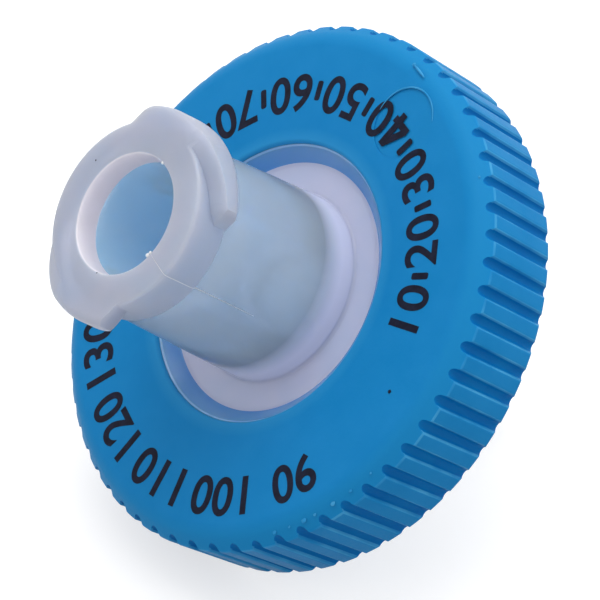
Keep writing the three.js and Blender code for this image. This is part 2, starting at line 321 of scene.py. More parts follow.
def natural_finish(name, clear, milky, transmission, roughness, softness, change=None):
    """Natural polypropylene. From one height to another it can change its colour and transmission."""
    finish = Finish(name, grain=6, mottle=0.4, depth=0.0006)
    mottle = finish.grain.outputs["Mottle"]
    colour = finish.mixed(finish.between(mottle, 0, 1), clear, milky)
    finish.shader.inputs["Transmission Weight"].default_value = transmission
    if change:
        start, end, other_colour, other_transmission = change
        height = finish.height()
        colour = finish.mixed(finish.between(height, 0, 1, start, end), colour, other_colour)
        weight = finish.between(height, transmission, other_transmission, start, end)
        finish.link(weight, finish.shader.inputs["Transmission Weight"])
    finish.link(colour, finish.shader.inputs["Base Color"])
    finish.link(finish.between(mottle, roughness, roughness + 0.06), finish.shader.inputs["Roughness"])
    finish.shader.inputs["IOR"].default_value = NATURAL_IOR
    finish.shader.inputs["Subsurface Weight"].default_value = 1
    finish.shader.inputs["Subsurface Radius"].default_value = (1, 1, 1)
    finish.shader.inputs["Subsurface Scale"].default_value = softness
    return finish


natural = natural_finish("natural_plastic", (0.80, 0.90, 1.00), (0.84, 0.91, 1.00), 0.80, 0.13, 0.0004)
# At the top of the recess wall, next to the window's edge, the skirt turns an opaque paler blue: a painted
# light line.
skirt = natural_finish(
    "natural_plastic_skirt", (0.12, 0.42, 1.00), (0.17, 0.45, 1.00), 0.46, 0.16, 0.0004,
    change=(-0.22, -0.19, (0.26, 0.50, 1.00), 0),
)

support_top = MEMBRANE_BOTTOM - FIT_GAP
channel_floor = support_top - CHANNEL_DEPTH
support_corners = []
for inner in SUPPORT_RINGS:
    support_corners += [
        (inner, channel_floor),
        (inner, support_top),
        (inner + SUPPORT_RING_WIDTH, support_top),
        (inner + SUPPORT_RING_WIDTH, channel_floor),
    ]
recess_floor = RECESS_DEPTH - BODY_THICKNESS
outlet = turned("outlet_housing_moulding", [
    (DRAIN_RADIUS, channel_floor),
    *support_corners,
    (CHANNEL_END_RADIUS, channel_floor),
    (CHANNEL_END_RADIUS, support_top),
    (POCKET_RADIUS, support_top),
    (POCKET_RADIUS, JOINT_HEIGHT - FIT_GAP / 2),
    (HOUSING_RADIUS, JOINT_HEIGHT - FIT_GAP / 2),
    (HOUSING_RADIUS, RING_LIP - BOND - BODY_THICKNESS),
    (WINDOW_FIT, RING_LIP - BOND - BODY_THICKNESS),
    (WINDOW_FIT, WINDOW_BAND - BODY_THICKNESS),
    (WINDOW_FIT - RECESS_WALL_RUN, recess_floor, RECESS_CORNER_ROUNDING),
    (NOZZLE_BASE_RADIUS, recess_floor, NOZZLE_BASE_ROUNDING),
    (NOZZLE_BASE_RADIUS, NOZZLE_BASE_BOTTOM, 0.06),
    (NOZZLE_START_RADIUS, NOZZLE_BASE_BOTTOM, 0.06),
    (NOZZLE_END_RADIUS, NOZZLE_END + NOZZLE_CHAMFER),
    (NOZZLE_END_RADIUS - NOZZLE_CHAMFER, NOZZLE_END),
    (NOZZLE_BORE_RADIUS, NOZZLE_END, 0.05),
])
channel = primitive(
    "drain_channel", bpy.ops.mesh.primitive_cube_add, size=1,
    scale=(CHANNEL_END_RADIUS, CHANNEL_WIDTH, CHANNEL_DEPTH + CHANNEL_OVERCUT),
    location=(CHANNEL_END_RADIUS / 2 + 0.01, 0, channel_floor + CHANNEL_DEPTH / 2 + CHANNEL_OVERCUT),
)
combine(outlet, spun_cutter(channel, CHANNEL_COUNT), "DIFFERENCE")
ease_edges(outlet, 0.03)
outlet.data.materials.append(natural.material)
outlet.data.materials.append(skirt.material)
for face in outlet.data.polygons:
    face.material_index = int(face.center.xy.length > WINDOW_FIT - RECESS_WALL_RUN + 0.03)
lay_down(outlet)
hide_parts("outlet_housing")
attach(outlet, "root")

# ---------------------------------------------------------------------------------------------
# Membrane. A disc of white porous film, cut out and sealed by its edge between the housings. It
# shows through the hole at the bottom of the inlet socket and, softly, through the plastic.

MEMBRANE_RADIUS = 6.5
MEMBRANE_TOP = -1.96
SEALED_RADIUS = 5.9
DIMPLE_STEP = 0.2
DIMPLE_DEPTH = 0.012

film = Finish("membrane_film", grain=26, mottle=1.4, depth=0.008)
film.link(
    film.mixed(film.between(film.grain.outputs["Mottle"], 0, 1), (0.93, 0.93, 0.92), (0.96, 0.96, 0.95)),
    film.shader.inputs["Base Color"],
)
film.link(film.between(film.grain.outputs["Grain"], 0.8, 0.95), film.shader.inputs["Roughness"])

membrane = primitive(
    "membrane_disc", bpy.ops.mesh.primitive_cylinder_add, vertices=120, radius=MEMBRANE_RADIUS,
    depth=MEMBRANE_TOP - MEMBRANE_BOTTOM, location=(0, 0, JOINT_HEIGHT),
)
start_edit(membrane, "FACE")
bpy.ops.mesh.select_all(action="DESELECT")
mesh = bmesh.from_edit_mesh(membrane.data)
for face in mesh.faces:
    face.select = abs(face.normal.z) > 0.9
bmesh.update_edit_mesh(membrane.data)
bpy.ops.mesh.inset(thickness=MEMBRANE_RADIUS - SEALED_RADIUS, depth=0, use_individual=True)
bpy.ops.mesh.inset(thickness=DIMPLE_STEP, depth=DIMPLE_DEPTH, use_individual=True)
finish_edit()
ease_edges(membrane, 0.02)
lay_down(membrane)
membrane.data.materials.append(film.material)
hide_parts("membrane")
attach(membrane, "root")

# ---------------------------------------------------------------------------------------------
# Inlet housing. The upper half: a plate with a shallow recess and the female luer hub, moulded in
# one with the two helical lugs that a syringe's collar turns onto. The same natural plastic.

CHAMBER_RADIUS = 5.9
HUB_END_RADIUS = 3.2
HUB_FOOT_RADIUS = 3.42
COLLAR_RADIUS = 3.28
COLLAR_LENGTH = 1.5
SOCKET_MOUTH_RADIUS = 2.135
SOCKET_NECK_RADIUS = 2.107
SOCKET_NECK_DEPTH = 0.95
SOCKET_END_RADIUS = 1.9
SOCKET_FLOOR = -0.51
SOCKET_STEP = 0.4
INLET_HOLE_RADIUS = 1.5
CHAMBER_CEILING = -1.66
LUG_RADIUS = 3.87
LUG_ROOT_RADIUS = 2.7
LUG_LEAD = 5
LUG_CREST = 1.07
LUG_FLANK_ANGLE = 20
LUG_START = 43
LUG_SWEEP = 111
LUG_RUN_IN = 24
LUG_RUN_OUT = 16
LUG_STEP = 3
LUG_OVERSIZE = 0.15
LUG_SUNK = 0.1
LUG_CORE_RADIUS = 1.2
LUG_CORNER_ROUNDING = 0.3
WALL_ZONE_RISE = 0.15

collar_bottom = HUB_LENGTH - COLLAR_LENGTH
inlet = turned("inlet_housing_moulding", [
    (SOCKET_MOUTH_RADIUS, HUB_LENGTH, 0.08),
    (COLLAR_RADIUS, HUB_LENGTH, 0.12),
    (COLLAR_RADIUS, collar_bottom, 0.04),
    (HUB_END_RADIUS, collar_bottom),
    (HUB_FOOT_RADIUS, -RECESS_DEPTH, 0.12),
    (WINDOW_FIT - RECESS_WALL_RUN, -RECESS_DEPTH, 0.12),
    (WINDOW_FIT, -0.12, 0.05),
    (WINDOW_FIT, -RING_LIP + BOND),
    (HOUSING_RADIUS, -RING_LIP + BOND),
    (HOUSING_RADIUS, JOINT_HEIGHT + FIT_GAP / 2),
    (POCKET_RADIUS, JOINT_HEIGHT + FIT_GAP / 2),
    (POCKET_RADIUS, MEMBRANE_TOP + FIT_GAP),
    (CHAMBER_RADIUS, MEMBRANE_TOP + FIT_GAP),
    (CHAMBER_RADIUS, CHAMBER_CEILING),
    (INLET_HOLE_RADIUS, CHAMBER_CEILING, 0.05),
    (INLET_HOLE_RADIUS, SOCKET_FLOOR - SOCKET_STEP, 0.05),
    (SOCKET_END_RADIUS, SOCKET_FLOOR, 0.05),
    (SOCKET_NECK_RADIUS, HUB_LENGTH - SOCKET_NECK_DEPTH),
])


def lug_crest(turned_by):
    """Radius of a lug's crest at an angle along it: it rises from the collar and sinks back into it."""
    rise = max(0, min(1, turned_by / LUG_RUN_IN, (LUG_SWEEP - turned_by) / LUG_RUN_OUT))
    risen = rise * rise * (3 - 2 * rise)
    return COLLAR_RADIUS - LUG_SUNK + (LUG_RADIUS + LUG_OVERSIZE - COLLAR_RADIUS + LUG_SUNK) * risen


def lug_pair():
    """Both lugs: a sloping section carried round a right-handed helix, then copied half a turn on."""
    half = LUG_CREST / 2
    flank = (LUG_RADIUS - LUG_ROOT_RADIUS) * math.tan(math.radians(LUG_FLANK_ANGLE))
    section = primitive("lugs", bpy.ops.mesh.primitive_plane_add, size=1, rotation=(math.pi / 2, 0, 0))
    crest = lug_crest(0)
    corners = (
        (LUG_ROOT_RADIUS, -half - flank),
        (LUG_ROOT_RADIUS, half + flank),
        (crest, half),
        (crest, -half),
    )
    start_edit(section, "VERT")
    mesh = bmesh.from_edit_mesh(section.data)
    loop = list(mesh.faces[:][0].verts)
    for vert, (radius, offset) in zip(loop, corners):
        vert.co = (radius, 0, HUB_LENGTH + offset)
    bmesh.update_edit_mesh(section.data)
    bpy.ops.mesh.select_all(action="SELECT")
    bpy.ops.transform.rotate(value=-math.radians(LUG_START), orient_axis="Z", center_override=(0, 0, 0))
    steps = round(LUG_SWEEP / LUG_STEP)
    bpy.ops.mesh.select_mode(type="FACE")
    bpy.ops.mesh.select_all(action="SELECT")
    for step in range(1, steps + 1):
        bpy.ops.mesh.extrude_region()
        bpy.ops.transform.rotate(value=math.radians(LUG_STEP), orient_axis="Z", center_override=(0, 0, 0))
        bpy.ops.transform.translate(value=(0, 0, -LUG_LEAD * LUG_STEP / 360))
        next_crest = lug_crest(step * LUG_STEP)
        mesh = bmesh.from_edit_mesh(section.data)
        for vert in mesh.verts:
            if vert.select and vert.co.xy.length > (LUG_ROOT_RADIUS + crest) / 2:
                vert.co.xy = vert.co.xy.normalized() * next_crest
        bmesh.update_edit_mesh(section.data)
        crest = next_crest
    bpy.ops.mesh.select_all(action="SELECT")
    bpy.ops.mesh.normals_make_consistent(inside=False)
    finish_edit()
    spun_cutter(section, 2)
    return section


lugs = lug_pair()
lug_top = HUB_LENGTH - 0.0005
envelope = turned("lug_envelope", [
    (LUG_CORE_RADIUS, lug_top),
    (LUG_RADIUS, lug_top, LUG_CORNER_ROUNDING),
    (LUG_RADIUS, collar_bottom, LUG_CORNER_ROUNDING),
    (LUG_CORE_RADIUS, collar_bottom),
])
combine(lugs, envelope, "INTERSECT")
ease_edges(lugs, 0.16, segments=4)
combine(inlet, lugs, "UNION")
merge_points(inlet)

# The plastic's milkiness by its thickness: the collar and lugs, the hub's wall, the recess's floor,
# the socket's mouth and the socket's wall each get their own. The hub's wall clouds over at its foot.
thick = natural_finish("natural_plastic_thick", (0.49, 0.54, 0.66), (0.56, 0.57, 0.67), 0.45, 0.34, 0.0012)
wall = natural_finish(
    "natural_plastic_wall", (0.70, 0.79, 1.00), (0.75, 0.82, 1.00), 0.72, 0.08, 0.0004,
    change=(0.9, 0.0, (0.54, 0.57, 0.72), 0),
)
floor = natural_finish("natural_plastic_floor", (0.42, 0.47, 0.62), (0.49, 0.50, 0.64), 0, 0.3, 0.0004)
mouth = natural_finish("natural_plastic_mouth", (0.75, 0.71, 0.76), (0.78, 0.73, 0.77), 0.15, 0.34, 0.0008)
socket = natural_finish("natural_plastic_socket", (0.60, 0.82, 1.00), (0.66, 0.84, 1.00), 0.50, 0.12, 0.0004)
ZONES = (natural, thick, wall, floor, mouth, skirt, socket)
for finish in ZONES:
    inlet.data.materials.append(finish.material)
for face in inlet.data.polygons:
    out = face.center.xy.length
    height = face.center.z
    if out < SOCKET_MOUTH_RADIUS + 0.02 and height > SOCKET_FLOOR - SOCKET_STEP:
        zone = socket if SOCKET_FLOOR + 0.1 < height < HUB_LENGTH - SOCKET_NECK_DEPTH else mouth
    elif height > collar_bottom - 0.02:
        zone = thick
    elif out > WINDOW_FIT - RECESS_WALL_RUN + 0.03:
        zone = skirt
    elif height > WALL_ZONE_RISE - RECESS_DEPTH:
        zone = wall
    elif height > -RECESS_DEPTH - 0.02 and face.normal.z > 0.1 and out > HUB_FOOT_RADIUS - 0.1:
        zone = floor
    else:
        zone = natural
    face.material_index = ZONES.index(zone)
lay_down(inlet)
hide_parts("inlet_housing")
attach(inlet, "root")

# ---------------------------------------------------------------------------------------------
# Grip ring. Blue polypropylene, cast round the edges of both housings so that it locks them
# together. Sixty shallow grooves run down its wall for grip, each deepest where it comes out of
# the shoulder, and a round dent in the face shows where a pin pushed it out of the mould.

WINDOW_RADIUS = 5.02
WINDOW_EDGE = 0.15
FACE_EDGE_RADIUS = 8.93
SHOULDER_RADIUS = 9.5
SHOULDER_DROP = 0.58
RIM_RADIUS = 9.38
BACK_CHAMFER = 0.4
BACK_CHAMFER_RUN = 0.8
CAVITY_RADIUS = 8.12
GROOVE_COUNT = 60
GROOVE_FRONT_WIDTH = 0.42
GROOVE_BACK_WIDTH = 0.38
GROOVE_FRONT_DEPTH = 0.25
GROOVE_BACK_DEPTH = 0.2
GROOVE_LIP = 0.09
GROOVE_ROUND = 7
LIP_ROUND = 4
LIP_TURN = 75
LIP_RISE = 0.033
CUTTER_TOP = 0.7
RING_STEPS = 360
EJECTOR_SETTING = 7.35
EJECTOR_RADIUS = 1.28
EJECTOR_DEPTH = 0.04
EJECTOR_ANGLE = -12

BLUE = (0.006, 0.180, 0.434)
BLUE_PALE = (0.009, 0.193, 0.456)
# Painted shade: a darker blue for the bottoms of the grooves.
BLUE_GROOVE_SHADE = (0.000, 0.126, 0.388)
# Painted highlight: a paler blue round the shoulder.
BLUE_SHOULDER_HIGHLIGHT = (0.009, 0.196, 0.445)
# A paler blue: real wear and flash on the moulding marks, and a painted highlight on the rounded edges, the
# groove lips and the shoulder's crease.
BLUE_WEAR_AND_EDGE_HIGHLIGHT = (0.050, 0.290, 0.545)
# Painted glow: a paler blue by the window's lip.
BLUE_LIP_GLOW = (0.024, 0.240, 0.492)
BLUE_BONDED = (0.024, 0.320, 0.800)


def blue_finish(name, colour, mottle_colour, shoulder_highlight=0):
    """Blue polypropylene, with a painted glow that pales it by the window's lip and, where asked, a painted
    highlight where the face rounds down to the wall.
    """
    finish = Finish(name, grain=8, mottle=0.7, depth=0.004)
    mottle = finish.grain.outputs["Mottle"]
    moulded = finish.mixed(finish.between(mottle, 0, 1), colour, mottle_colour)
    # Painted highlight round the shoulder: the colour pales towards the middle of the shoulder's drop in
    # height.
    distance = finish.node("ShaderNodeMath")
    distance.operation = "ADD"
    finish.link(finish.height(), distance.inputs[0])
    distance.inputs[1].default_value = SHOULDER_DROP / 2
    spread = finish.node("ShaderNodeMath")
    spread.operation = "ABSOLUTE"
    finish.link(distance.outputs["Value"], spread.inputs[0])
    half_drop = SHOULDER_DROP / 2
    shoulder_highlight_mask = finish.between(spread.outputs["Value"], shoulder_highlight, 0, half_drop - 0.12, half_drop + 0.01)
    moulded = finish.mixed(shoulder_highlight_mask, moulded, BLUE_SHOULDER_HIGHLIGHT)
    flat = finish.node("ShaderNodeVectorMath")
    flat.operation = "MULTIPLY"
    finish.link(finish.place, flat.inputs[0])
    flat.inputs[1].default_value = (1, 1, 0)
    radius = finish.node("ShaderNodeVectorMath")
    radius.operation = "LENGTH"
    finish.link(flat.outputs["Vector"], radius.inputs[0])
    # Painted glow: the face pales towards the window's lip.
    lip_glow_mask = finish.between(radius.outputs["Value"], 0.8, 0, WINDOW_RADIUS + 0.05, WINDOW_RADIUS + 0.55)
    finish.link(finish.mixed(lip_glow_mask, moulded, BLUE_LIP_GLOW), finish.shader.inputs["Base Color"])
    finish.link(finish.between(finish.grain.outputs["Grain"], 0.38, 0.5), finish.shader.inputs["Roughness"])
    finish.shader.inputs["Specular IOR Level"].default_value = 0.045
    finish.shader.inputs["Subsurface Weight"].default_value = 0.15
    finish.shader.inputs["Subsurface Radius"].default_value = (0.3, 0.6, 1)
    finish.shader.inputs["Subsurface Scale"].default_value = 0.0003
    return finish


# The plain blue takes the painted highlight round its shoulder.
blue = blue_finish("blue_plastic", BLUE, BLUE_PALE, shoulder_highlight=0.9)
# The grooves' bottoms take this darker blue as painted shade.
groove_shade_blue = blue_finish("blue_plastic_groove_shade", BLUE_GROOVE_SHADE, (0.000, 0.150, 0.410))
# Paler blue for real wear and flash, and for painted highlights along edges.
worn_and_highlit_blue = blue_finish("blue_plastic_wear_and_edge_highlights", BLUE_PALE, BLUE_WEAR_AND_EDGE_HIGHLIGHT)
bonded_blue = blue_finish("blue_plastic_bonded", BLUE_BONDED, (0.040, 0.350, 0.820))

ring = turned("grip_ring_casting", [
    (WINDOW_RADIUS, 0, WINDOW_EDGE),
    (FACE_EDGE_RADIUS, 0, 0.35),
    (SHOULDER_RADIUS, -SHOULDER_DROP, 0.05),
    (RIM_RADIUS, BACK_CHAMFER - BODY_THICKNESS, 0.1),
    (RIM_RADIUS - BACK_CHAMFER_RUN, -BODY_THICKNESS, 0.1),
    (WINDOW_RADIUS, -BODY_THICKNESS, WINDOW_EDGE),
    (WINDOW_RADIUS, RING_LIP - BODY_THICKNESS),
    (CAVITY_RADIUS, RING_LIP - BODY_THICKNESS),
    (CAVITY_RADIUS, -RING_LIP),
    (WINDOW_RADIUS, -RING_LIP),
], steps=RING_STEPS)
RING_FINISHES = (blue, groove_shade_blue, worn_and_highlit_blue, bonded_blue)
GROOVE_SHADE, EDGE_WEAR_AND_HIGHLIGHT, BONDED = (RING_FINISHES.index(finish) for finish in (groove_shade_blue, worn_and_highlit_blue, bonded_blue))
for finish in RING_FINISHES:
    ring.data.materials.append(finish.material)
for face in ring.data.polygons:
    out = face.center.xy.length
    from_middle = abs(face.center.z + BODY_THICKNESS / 2)
    in_window = out < WINDOW_RADIUS + 0.02 and from_middle < BODY_THICKNESS / 2 - WINDOW_EDGE
    in_cavity = out < CAVITY_RADIUS + 0.01 and from_middle < BODY_THICKNESS / 2 - RING_LIP + 0.01
    if in_window or in_cavity:
        face.material_index = BONDED


def groove_section(surface, half_width, depth, height):
    """A cross-section of a groove's cutter: a round bottom, soft lips that roll out, and a flat top."""
    middle = surface + half_width - depth
    lip_start = math.asin(max(-1, (surface - GROOVE_LIP - middle) / half_width))
    side = []
    for step in range(GROOVE_ROUND + 1):
        turn = -math.pi / 2 + (lip_start + math.pi / 2) * step / GROOVE_ROUND
        side.append((middle + half_width * math.sin(turn), half_width * math.cos(turn)))
    for step in range(1, LIP_ROUND + 1):
        turn = math.radians(LIP_TURN) * step / LIP_ROUND
        side.append((
            surface - GROOVE_LIP + GROOVE_LIP * math.sin(turn),
            half_width + GROOVE_LIP * (1 - math.cos(turn)),
        ))
    side.append((surface + 0.03, side[-1][1] + LIP_RISE / math.tan(math.radians(90 - LIP_TURN))))
    side.append((surface + CUTTER_TOP, side[-1][1] + 0.02))
    mirrored = [(x, -y) for x, y in reversed(side[1:])]
    return [Vector((x, y, height)) for x, y in side + mirrored]


slope = (RIM_RADIUS - SHOULDER_RADIUS) / (BACK_CHAMFER - BODY_THICKNESS + SHOULDER_DROP)
sections = []
for height, half_width, depth in (
    (0.3, GROOVE_FRONT_WIDTH / 2, GROOVE_FRONT_DEPTH + 0.02),
    (-SHOULDER_DROP, GROOVE_FRONT_WIDTH / 2, GROOVE_FRONT_DEPTH),
    (BACK_CHAMFER - BODY_THICKNESS, GROOVE_BACK_WIDTH / 2, GROOVE_BACK_DEPTH),
    (-BODY_THICKNESS - 0.3, GROOVE_BACK_WIDTH / 2, GROOVE_BACK_DEPTH),
):
    surface = SHOULDER_RADIUS + slope * (height + SHOULDER_DROP)
    sections.append(groove_section(surface, half_width, depth, height))
groove = primitive(
    "groove_cutter", bpy.ops.mesh.primitive_circle_add, vertices=len(sections[0]), fill_type="NGON", radius=1,
)
start_edit(groove, "FACE")
mesh = bmesh.from_edit_mesh(groove.data)
loop = list(mesh.faces[:][0].verts)
for vert, place in zip(loop, sections[0]):
    vert.co = place
bmesh.update_edit_mesh(groove.data)
bpy.ops.mesh.select_all(action="SELECT")
for last, section in zip(sections, sections[1:]):
    bpy.ops.mesh.extrude_region()
    mesh = bmesh.from_edit_mesh(groove.data)
    for vert in mesh.verts:
        if vert.select:
            nearest = min(range(len(last)), key=lambda index: (last[index] - vert.co).length)
            vert.co = section[nearest]
    bmesh.update_edit_mesh(groove.data)
bpy.ops.mesh.select_all(action="SELECT")
bpy.ops.mesh.normals_make_consistent(inside=False)
finish_edit()
for finish in RING_FINISHES:
    groove.data.materials.append(finish.material)
# The cutter hands its materials to the cut: painted shade on the grooves' bottoms, and the paler blue on
# their sides and lips as a painted highlight.
for face in groove.data.polygons:
    face.material_index = GROOVE_SHADE if abs(face.center.y) < GROOVE_BACK_WIDTH / 2 else EDGE_WEAR_AND_HIGHLIGHT
combine(ring, spun_cutter(groove, GROOVE_COUNT, math.pi / GROOVE_COUNT), "DIFFERENCE")


def at(radius, degrees, height):
    """A point by its distance from the axis, its angle round it and its height."""
    angle = math.radians(degrees)
    return Vector((radius * math.cos(angle), radius * math.sin(angle), height))


pin = primitive(
    "ejector_pin", bpy.ops.mesh.primitive_cylinder_add, vertices=96, radius=EJECTOR_RADIUS,
    depth=2 * EJECTOR_DEPTH, location=at(EJECTOR_SETTING, EJECTOR_ANGLE, 0),
)
pin.data.materials.append(blue.material)
combine(ring, pin, "DIFFERENCE")
# The rounded edges are painted the paler blue as a highlight.
ease_edges(ring, 0.035, material=EDGE_WEAR_AND_HIGHLIGHT)
merge_points(ring)
# Painted highlight: the faces along the shoulder's crease take the paler blue.
for face in ring.data.polygons:
    if abs(face.center.z + SHOULDER_DROP) < 0.05 and face.center.xy.length > SHOULDER_RADIUS - 0.05:
        face.material_index = EDGE_WEAR_AND_HIGHLIGHT
lay_down(ring)
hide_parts("grip_ring")
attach(ring, "root")

# ---------------------------------------------------------------------------------------------
# Printed scale. Black ink stamped on the ring's front face in one pass after casting: plain
# numbers and ticks in two arcs, the upper one read from the rim and the lower one from the hub.

UPPER_RADIUS = 6.92
LOWER_RADIUS = 7.62
INK_HEIGHT = 1.36
INK_THICKNESS = 0.006
INK_LIFT = 0.001
TYPE_HEIGHT = 0.72
INK_SWELL = 0.036
STROKE_WIDTH = 0.26
FOUR_STEM = 0.18
FOUR_BAR = -0.32
FOUR_LEFT = -0.44
FOUR_RIGHT = 0.45
TICK_LENGTH = 0.72
TICK_WIDTH = 0.24
UPPER_START = -71
UPPER_STEP = 21
UPPER_PITCH = 8.2
LOWER_START = 233
LOWER_STEP = 23.5
LOWER_PITCH = 7.2

ink = Finish("black_ink", grain=14, mottle=2.2, depth=0.002)
ink_mottle = ink.between(ink.grain.outputs["Mottle"], 0, 1)
ink.link(ink.mixed(ink_mottle, (0.004, 0.005, 0.014), (0.010, 0.012, 0.030)), ink.shader.inputs["Base Color"])
ink.link(ink.between(ink.grain.outputs["Grain"], 0.55, 0.75), ink.shader.inputs["Roughness"])
ink.shader.inputs["Specular IOR Level"].default_value = 0.12
marks = []


def figure(character):
    """A printed figure at the origin, from type swollen to the stroke of the stamp."""
    bpy.ops.object.select_all(action="DESELECT")
    bpy.ops.object.text_add()
    mark = bpy.context.object
    mark.data.body = character
    mark.data.size = INK_HEIGHT / TYPE_HEIGHT
    mark.data.offset = INK_SWELL
    mark.data.extrude = INK_THICKNESS / 2
    mark.data.align_x = "CENTER"
    mark.data.align_y = "CENTER"
    bpy.ops.object.convert(target="MESH")
    return bpy.context.object


def figure_four():
    """The figure 4 from three joined strokes, because swollen type would fill its counter."""
    top = INK_HEIGHT / 2
    strokes = []
    for start, end in (
        ((FOUR_STEM, -top), (FOUR_STEM, top)),
        ((FOUR_LEFT, FOUR_BAR), (FOUR_RIGHT, FOUR_BAR)),
        ((FOUR_LEFT + 0.08, FOUR_BAR), (FOUR_STEM - 0.04, top - 0.08)),
    ):
        run = Vector(end) - Vector(start)
        middle = (Vector(end) + Vector(start)) / 2
        strokes.append(primitive(
            "stroke", bpy.ops.mesh.primitive_cube_add, size=1,
            scale=(run.length, STROKE_WIDTH, INK_THICKNESS),
            location=(middle.x, middle.y, 0), rotation=(0, 0, math.atan2(run.y, run.x)),
        ))
    for stroke in strokes[1:]:
        combine(strokes[0], stroke, "UNION")
    return merge_points(strokes[0])


def stamp(character, degrees, radius, outwards):
    """One printed character at an angle round the face, its top outwards or inwards."""
    mark = figure_four() if character == "4" else figure(character)
    bpy.ops.object.select_all(action="DESELECT")
    mark.select_set(True)
    bpy.context.view_layer.objects.active = mark
    angle = math.radians(degrees)
    mark.location = at(radius, degrees, INK_THICKNESS / 2 + INK_LIFT)
    mark.rotation_euler = (0, 0, angle - math.pi / 2 if outwards else angle + math.pi / 2)
    bpy.ops.object.transform_apply()
    marks.append(mark)


def tick(degrees, radius):
    """A short printed stroke between two numbers, pointing at the hub."""
    mark = primitive(
        "tick", bpy.ops.mesh.primitive_cube_add, size=1, scale=(TICK_LENGTH, TICK_WIDTH, INK_THICKNESS),
        location=at(radius, degrees, INK_THICKNESS / 2 + INK_LIFT), rotation=(0, 0, math.radians(degrees)),
    )
    start_edit(mark)
    bpy.ops.mesh.select_all(action="DESELECT")
    mesh = bmesh.from_edit_mesh(mark.data)
    for edge in mesh.edges:
        edge.select = abs(edge.verts[0].co.z - edge.verts[1].co.z) > INK_THICKNESS / 2
    bmesh.update_edit_mesh(mark.data)
    bpy.ops.mesh.bevel(offset=TICK_WIDTH * 0.3, segments=3, affect="EDGES")
    marks.append(finish_edit())


for index, number in enumerate(("10", "20", "30", "40", "50", "60", "70", "80")):
    middle = UPPER_START + index * UPPER_STEP
    for place, digit in enumerate(number):
        stamp(digit, middle + (place - 0.5) * UPPER_PITCH, UPPER_RADIUS, outwards=False)
    if index:
        tick(middle - UPPER_STEP / 2, UPPER_RADIUS)
for index, number in enumerate(("90", "100", "110", "120", "130")):
    middle = LOWER_START - index * LOWER_STEP
    for place, digit in enumerate(number):
        stamp(digit, middle - (place - (len(number) - 1) / 2) * LOWER_PITCH, LOWER_RADIUS, outwards=True)


def joined(name, parts):
    """Joins parts into one piece."""
    bpy.ops.object.select_all(action="DESELECT")
    for part in parts:
        part.select_set(True)
    bpy.context.view_layer.objects.active = parts[0]
    bpy.ops.object.join()
    whole = bpy.context.object
    whole.name = whole.data.name = name
    return whole


print_marks = joined("printed_scale", marks)
start_edit(print_marks, "VERT")
bpy.ops.mesh.select_all(action="SELECT")
bpy.ops.mesh.remove_doubles(threshold=0.0001)
bpy.ops.mesh.normals_make_consistent(inside=False)
finish_edit()
lay_down(print_marks, smooth_angle=20)
print_marks.data.materials.clear()
print_marks.data.materials.append(ink.material)
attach(print_marks, "root")

# ---------------------------------------------------------------------------------------------
# Moulding marks. Thin flash where the ring's mould closed on its shoulder, the witness line of the
# ejector pin, a scrape on the face's edge, specks of dirt, and the hub's burrs and parting line.

SHOULDER_SPOTS = (
    (225, 0.16), (229, 0.1), (233, 0.2), (236, 0.12), (241, 0.18), (246, 0.13), (252, 0.09), (322, 0.1),
)
FLASH_SETTING = 9.18
PARTING_ANGLE = 257


def bead_line(name, points, thickness):
    """A thin raised line through points, half sunk in the surface, with its ends closed."""
    bpy.ops.object.select_all(action="DESELECT")
    bpy.ops.curve.primitive_nurbs_path_add()
    path = bpy.context.object
    path.name = name
    path.data.splines.clear()
    spline = path.data.splines.new("POLY")
    spline.points.add(len(points) - 1)
    for index, (point, place) in enumerate(zip(spline.points, points)):
        point.co = (*place, 1)
        share = index / (len(points) - 1)
        point.radius = 0.25 + 0.75 * math.sin(math.pi * share) ** 0.5
    path.data.bevel_depth = thickness / 2
    path.data.bevel_resolution = 2
    path.data.use_fill_caps = True
    bpy.ops.object.convert(target="MESH")
    line = bpy.context.object
    start_edit(line, "VERT")
    bpy.ops.mesh.select_all(action="SELECT")
    bpy.ops.mesh.remove_doubles(threshold=0.0002)
    bpy.ops.mesh.normals_make_consistent(inside=False)
    return finish_edit()


def crumb(name, place, size, flatness=0.6):
    """A small rough grain of plastic or dirt."""
    grain = primitive(name, bpy.ops.mesh.primitive_ico_sphere_add, subdivisions=3, radius=size / 2)
    start_edit(grain, "VERT")
    bpy.ops.mesh.select_all(action="SELECT")
    bpy.ops.transform.vertex_random(offset=size * 0.12, seed=len(name))
    bpy.ops.transform.resize(value=(1, 1, flatness), center_override=(0, 0, 0))
    bpy.ops.transform.translate(value=place)
    return finish_edit()


def finish_marks(name, parts, material):
    """Joins marks into one piece, lays it down with the filter and gives it its material and slot."""
    whole = joined(name, parts)
    lay_down(whole, smooth_angle=60)
    whole.data.materials.clear()
    whole.data.materials.append(material)
    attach(whole, "root")


pin_place = at(EJECTOR_SETTING, EJECTOR_ANGLE, 0)
witness = [pin_place + at(EJECTOR_RADIUS, turn, 0.004) for turn in range(-60, 96, 5)]
scrape = [at(9.02 - 0.02 * step, 357 - 1.2 * step, -0.02 + 0.004 * step) for step in range(5)]
flash = [
    bead_line("witness_line", witness, 0.07),
    bead_line("scrape", scrape, 0.1),
    crumb("scrape_end", scrape[0], 0.14, flatness=0.5),
]
for degrees, size in SHOULDER_SPOTS:
    flash.append(crumb("flash_%d" % degrees, at(FLASH_SETTING, degrees, -0.235), size, flatness=0.3))
finish_marks("ring_flash", flash, worn_and_highlit_blue.material)

